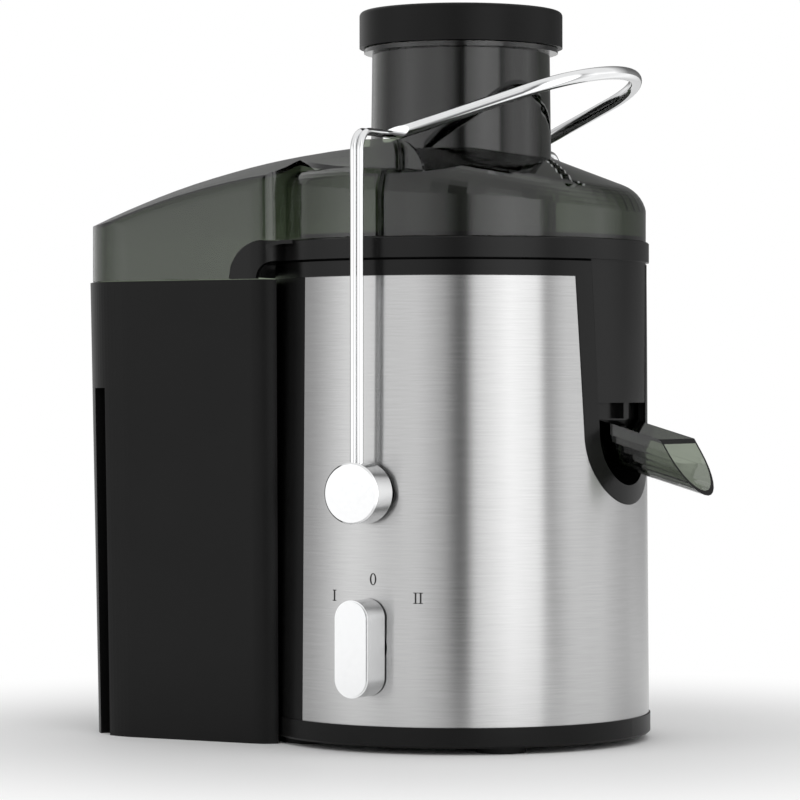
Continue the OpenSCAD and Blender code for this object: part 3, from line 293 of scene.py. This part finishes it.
def dress(material, *nodes):
    """Give CAD nodes one material."""
    for name in nodes:
        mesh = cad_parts[name].data
        mesh.materials.clear()
        mesh.materials.append(material)


housing_black = moulded("housing_black", 0.005, 0.008, 0.34)
trim_black = moulded("trim_black", 0.003, 0.005, 0.22, gloss=0.2)
bowl_black = moulded("bowl_black", 0.004, 0.007, 0.24, gloss=0.2)
dress(housing_black, "motor_housing", "base_tray", "interlock_cam")
dress(housing_black, "drive_coupling", "sieve_hub", "sieve_rim")
dress(trim_black, "housing_trim")
dress(bowl_black, "juice_bowl")

rubber = moulded("rubber_black", 0.01, 0.014, 0.65, scale=900, depth=0.00003)
dress(rubber, "rubber_feet", "cord_gland", "shaft_seal", "motor_mounts")

# ---------------------------------------------------------------------------
# Stainless sheet: 0.8 mm thick and brushed along the girth, so it mirrors sharply
# sideways and smears upright. Rolled round the housing, held behind trim and base.
# ---------------------------------------------------------------------------
brushed, tree, shader = new_material("brushed_sheet")
place = add(tree, "ShaderNodeTexCoord")
stretch = add(tree, "ShaderNodeMapping")
line_runs, line_rows = 45, 2000  # brush lines per metre, along and across
stretch.inputs["Scale"].default_value = (line_runs, line_runs, line_rows)
tree.links.new(place.outputs["Object"], stretch.inputs["Vector"])
lines = add(tree, "ShaderNodeTexNoise", Scale=1.0, Detail=4.0, Roughness=0.7)
tree.links.new(stretch.outputs[0], lines.inputs["Vector"])
tone = add(tree, "ShaderNodeMix", data_type="RGBA")
tone.inputs[6].default_value = grey(0.468)
tone.inputs[7].default_value = grey(0.534)
scratches = add(tree, "ShaderNodeMapRange", From_Min=0.3, From_Max=0.7)
tree.links.new(lines.outputs["Fac"], scratches.inputs["Value"])
tree.links.new(scratches.outputs[0], tone.inputs["Factor"])
tree.links.new(tone.outputs[2], shader.inputs["Base Color"])
shine = add(tree, "ShaderNodeMapRange", To_Min=0.2, To_Max=0.28)
tree.links.new(lines.outputs["Fac"], shine.inputs["Value"])
tree.links.new(shine.outputs[0], shader.inputs["Roughness"])
shader.inputs["Metallic"].default_value = 1.0
shader.inputs["Anisotropic"].default_value = 0.95
shader.inputs["Anisotropic Rotation"].default_value = 0.25  # a quarter turn
girth = add(tree, "ShaderNodeTangent", direction_type="RADIAL", axis="Z")
tree.links.new(girth.outputs[0], shader.inputs["Tangent"])
bump = add(tree, "ShaderNodeBump", Strength=0.12, Distance=0.00001)
tree.links.new(lines.outputs["Fac"], bump.inputs["Height"])
tree.links.new(bump.outputs[0], shader.inputs["Normal"])
dress(brushed, "steel_wrap")

# ---------------------------------------------------------------------------
# Lid with its feed tube, and spout: clear polymer tinted smoke green, moulded in
# polished tools, so the walls are glossy and darker where they are seen edge on.
# The lid sits on the bowl under the bail; the spout pushes on to the bowl's duct.
# ---------------------------------------------------------------------------


def smoked(name, surface, smoke_colour, shine, density):
    """Clear polymer: a nearly clear surface over smoke that deepens with depth."""
    material, tree, shader = new_material(name)
    place = add(tree, "ShaderNodeTexCoord")
    flow = add(tree, "ShaderNodeTexNoise", Scale=14.0, Detail=2.0)
    tree.links.new(place.outputs["Object"], flow.inputs["Vector"])
    tone = add(tree, "ShaderNodeMix", data_type="RGBA")
    tone.inputs[6].default_value = grey([c * 0.97 for c in surface])
    tone.inputs[7].default_value = grey(surface)
    tree.links.new(flow.outputs["Fac"], tone.inputs["Factor"])
    tree.links.new(tone.outputs[2], shader.inputs["Base Color"])
    shader.inputs["Transmission Weight"].default_value = 1.0
    shader.inputs["Roughness"].default_value = shine
    shader.inputs["IOR"].default_value = 1.58
    smoke = add(tree, "ShaderNodeVolumeAbsorption", Density=density)
    smoke.inputs["Color"].default_value = grey(smoke_colour)
    out = next(n for n in tree.nodes if n.type == "OUTPUT_MATERIAL")
    tree.links.new(smoke.outputs[0], out.inputs["Volume"])
    return material


smoked_clear = smoked(
    "smoked_clear",
    surface=(0.82, 0.83, 0.81),
    smoke_colour=(0.15, 0.22, 0.09),
    shine=0.012,
    density=690,
)
dress(smoked_clear, "feed_lid", "spout")

# ---------------------------------------------------------------------------
# Pusher: a black moulded plunger that fills the feed tube, under a wide cap with
# a satin grain that is pressed on and keeps it from dropping further.
# ---------------------------------------------------------------------------
pusher_black = moulded("pusher_black", 0.004, 0.006, 0.26)
cap_black = moulded("cap_black", 0.005, 0.008, 0.36)
dress(pusher_black, "pusher_body")
dress(cap_black, "pusher_cap")

# ---------------------------------------------------------------------------
# Pulp container: one satin black moulding with finger grooves down its sides. It
# stands on the worktop, and its open top slides in under the lid's overhang.
# ---------------------------------------------------------------------------
container_black = moulded("container_black", 0.005, 0.008, 0.36)
dress(container_black, "pulp_container")

# ---------------------------------------------------------------------------
# Bail: two spring wires on each side and a thick loop welded to them, all bright
# plated. Round caps carry the wires on pivots through the sides of the housing.
# ---------------------------------------------------------------------------


def metal(name, colour, shine, scale=400.0, spread=0.04):
    """Plain metal with faint cloudy wear in its shine."""
    material, tree, shader = new_material(name)
    place = add(tree, "ShaderNodeTexCoord")
    marks = add(tree, "ShaderNodeTexNoise", Scale=scale, Detail=3.0)
    tree.links.new(place.outputs["Object"], marks.inputs["Vector"])
    shift = add(tree, "ShaderNodeMapRange", To_Min=shine - spread / 2, To_Max=shine + spread / 2)
    tree.links.new(marks.outputs["Fac"], shift.inputs["Value"])
    tree.links.new(shift.outputs[0], shader.inputs["Roughness"])
    tone = add(tree, "ShaderNodeMix", data_type="RGBA")
    tone.inputs[6].default_value = grey([c * 0.95 for c in colour])
    tone.inputs[7].default_value = grey(colour)
    tree.links.new(marks.outputs["Fac"], tone.inputs["Factor"])
    tree.links.new(tone.outputs[2], shader.inputs["Base Color"])
    shader.inputs["Metallic"].default_value = 1.0
    return material


plated = metal("plated_wire", (0.88, 0.885, 0.89), 0.05)
dress(plated, "front_leg_wires", "rear_leg_wires", "grip_loop", "front_pivot_cap", "rear_pivot_cap")

# ---------------------------------------------------------------------------
# Selector: a satin silver knob, plated over plastic, on a turned steel shaft.
# The same turned steel serves for pins, clips, screws and the sieve.
# ---------------------------------------------------------------------------
knob_silver = metal("knob_silver", (0.84, 0.845, 0.85), 0.24)
dress(knob_silver, "selector_knob", "switch_plunger")
turned = metal("turned_steel", (0.62, 0.63, 0.64), 0.25)
dress(turned, "selector_shaft", "pivot_pins", "pivot_clips", "motor_shaft")
dress(turned, "upper_bearing", "lower_bearing", "motor_bolts", "housing_screws")
dress(turned, "sieve_cone", "grating_disc")

# ---------------------------------------------------------------------------
# Selector marks: I, 0 and II round the knob, pad printed on the steel in dark
# ink. The print follows the sheet and stands a few hundredths proud of it.
# ---------------------------------------------------------------------------
marks = bmesh.new()
print_r = 0.0908  # the sheet's radius at the knob, where the print is laid out flat


def bar(x, z, width, tall):
    """An upright rectangle of print, centred at x, z."""
    strip = bmesh.ops.create_grid(marks, x_segments=4, y_segments=1, size=0.5)["verts"]
    bmesh.ops.scale(marks, vec=(width, tall, 1), verts=strip)
    bmesh.ops.translate(marks, vec=(x, z, 0), verts=strip)


def stem(x, z):
    """One stroke with a serif at each end."""
    bar(x, z, 0.00075, 0.0050)
    for end in (-1, 1):
        bar(x, z + end * 0.0024, 0.0021, 0.00035)


one_x, zero_x, two_x = (math.radians(degrees) * print_r for degrees in (-12.6, 1.3, 15.4))
one_z, zero_z, two_z = 0.0724, 0.0805, 0.0721
half_gap = 0.0012  # from the middle of II to each of its strokes
stem(one_x, one_z)
for side in (-1, 1):
    stem(two_x + side * half_gap, two_z)

outer_half, inner_half = (0.0017, 0.0028), (0.00095, 0.0024)  # the ring of the 0
outline = bmesh.ops.create_circle(marks, cap_ends=False, segments=32, radius=1.0)["verts"]
bmesh.ops.scale(marks, vec=(*outer_half, 1), verts=outline)
rim_edges = [e for e in marks.edges if e.verts[0] in outline and e.verts[1] in outline]
inner = bmesh.ops.extrude_edge_only(marks, edges=rim_edges)["geom"]
inner_verts = [v for v in inner if isinstance(v, bmesh.types.BMVert)]
narrowing = [small / large for small, large in zip(inner_half, outer_half)]
bmesh.ops.scale(marks, vec=(*narrowing, 1), verts=inner_verts)
bmesh.ops.translate(marks, vec=(zero_x, zero_z, 0), verts=outline + inner_verts)
for face in marks.faces:
    face.normal_update()
    if face.normal.z < 0:
        face.normal_flip()

# wrapped on the sheet, which narrows from its foot to its top
foot_r, foot_z, narrows, sheet_tall, proud = 0.091, 0.0126, 0.0015, 0.2084, 0.00003
for vert in marks.verts:
    along, height = vert.co.x / print_r, vert.co.y
    shell = foot_r - narrows * (height - foot_z) / sheet_tall + proud
    vert.co = (motor_x + shell * math.sin(along), -shell * math.cos(along), height)
marks_data = bpy.data.meshes.new("selector_marks")
marks.to_mesh(marks_data)
marks.free()
selector_marks = bpy.data.objects.new("selector_marks", marks_data)
bpy.context.scene.collection.objects.link(selector_marks)
ink_depth = selector_marks.modifiers.new("ink_depth", "SOLIDIFY")
ink_depth.thickness = 0.00004
ink_depth.offset = 1.0
marks_data.materials.append(moulded("printing_ink", 0.02, 0.03, 0.45, scale=3000, depth=0.000004))
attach(selector_marks, "base")

# ---------------------------------------------------------------------------
# Motor: stacked steel sheets under enamelled copper, between cast brackets, with
# dark mouldings for brushes, switches and fan. It hangs in the housing on rubber
# grommets, and its shaft drives the sieve through the coupling.
# ---------------------------------------------------------------------------
stacked = metal("stacked_sheet", (0.36, 0.37, 0.38), 0.45)
dress(stacked, "stator_core", "armature_core")
copper = metal("enamelled_copper", (0.72, 0.33, 0.14), 0.35)
dress(copper, "armature_windings", "commutator", "field_coils")
cast = metal("cast_bracket", (0.6, 0.61, 0.63), 0.5)
dress(cast, "upper_bracket", "lower_bracket")
switch_grey = moulded("switch_grey", 0.05, 0.06, 0.5)
dress(switch_grey, "brush_holders", "cooling_fan", "interlock_switch", "selector_switch")
carbon = moulded("carbon", 0.02, 0.03, 0.6)
dress(carbon, "carbon_brushes")
